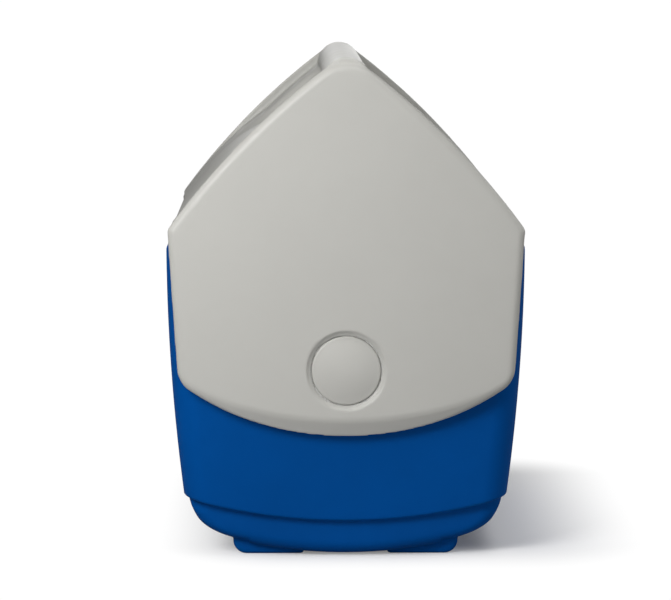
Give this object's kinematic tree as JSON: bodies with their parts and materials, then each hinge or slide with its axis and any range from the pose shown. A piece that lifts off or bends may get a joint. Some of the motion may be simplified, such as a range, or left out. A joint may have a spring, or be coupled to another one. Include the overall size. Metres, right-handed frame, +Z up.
{
  "type": "cooler chest",
  "caption": "Small insulated tub with an arched mouth, closed by a tent-shaped swing lid with a carrying bar and a push-button latch.",
  "frame": {"origin": "centre of the footprint on the floor plane, under the middle of the cooler", "axes": "+X across the width, +Y along the length away from the push-button end, +Z up"},
  "size_m": [0.2082, 0.2918, 0.292],
  "materials": {
    "tub_plastic": "moulded blue polyethylene with a faint orange-peel texture",
    "lid_plastic": "moulded warm light grey plastic with a fine satin texture",
    "liner_plastic": "smooth white food-grade liner",
    "bearing_plastic": "self-lubricating moulded plastic",
    "latch_plastic": "dark moulded acetal",
    "foam": "rigid closed-cell foam",
    "fastener_steel": "zinc-plated steel"
  },
  "bodies": {
    "tub": {"outer_shell": "tub_plastic", "body_foam": "foam", "inner_liner": "liner_plastic", "foam_fill_plug": "tub_plastic", "front_pivot_socket": "bearing_plastic", "rear_pivot_socket": "bearing_plastic", "lock_ring": "latch_plastic"},
    "lid": {"lid_shell": "lid_plastic", "lid_foam": "foam", "lid_liner": "liner_plastic", "liner_rivets": "liner_plastic", "grip_insert": "lid_plastic", "grip_screws": "fastener_steel", "front_inner_panel": "lid_plastic", "rear_inner_panel": "lid_plastic", "front_panel_screws": "fastener_steel", "rear_panel_screws": "fastener_steel", "front_hub": "bearing_plastic", "rear_hub": "bearing_plastic", "front_retaining_ring": "fastener_steel", "rear_retaining_ring": "fastener_steel", "rear_pivot_cap": "lid_plastic", "button_spring": "fastener_steel"},
    "button": {"push_button": "lid_plastic", "latch_key": "latch_plastic", "key_screw": "fastener_steel"}
  },
  "joints": [
    {"name": "lid_swing", "type": "hinge", "parent": "tub", "child": "lid", "pos_m": [0, 0, 0.1122], "axis": [0, 1, 0], "range_deg": [-75, 75]},
    {"name": "button_press", "type": "slide", "parent": "lid", "child": "button", "axis": [0, 1, 0], "range_m": [0, 0.0045], "stiffness_N_per_m": 400, "deforming": ["button_spring"]}
  ]
}
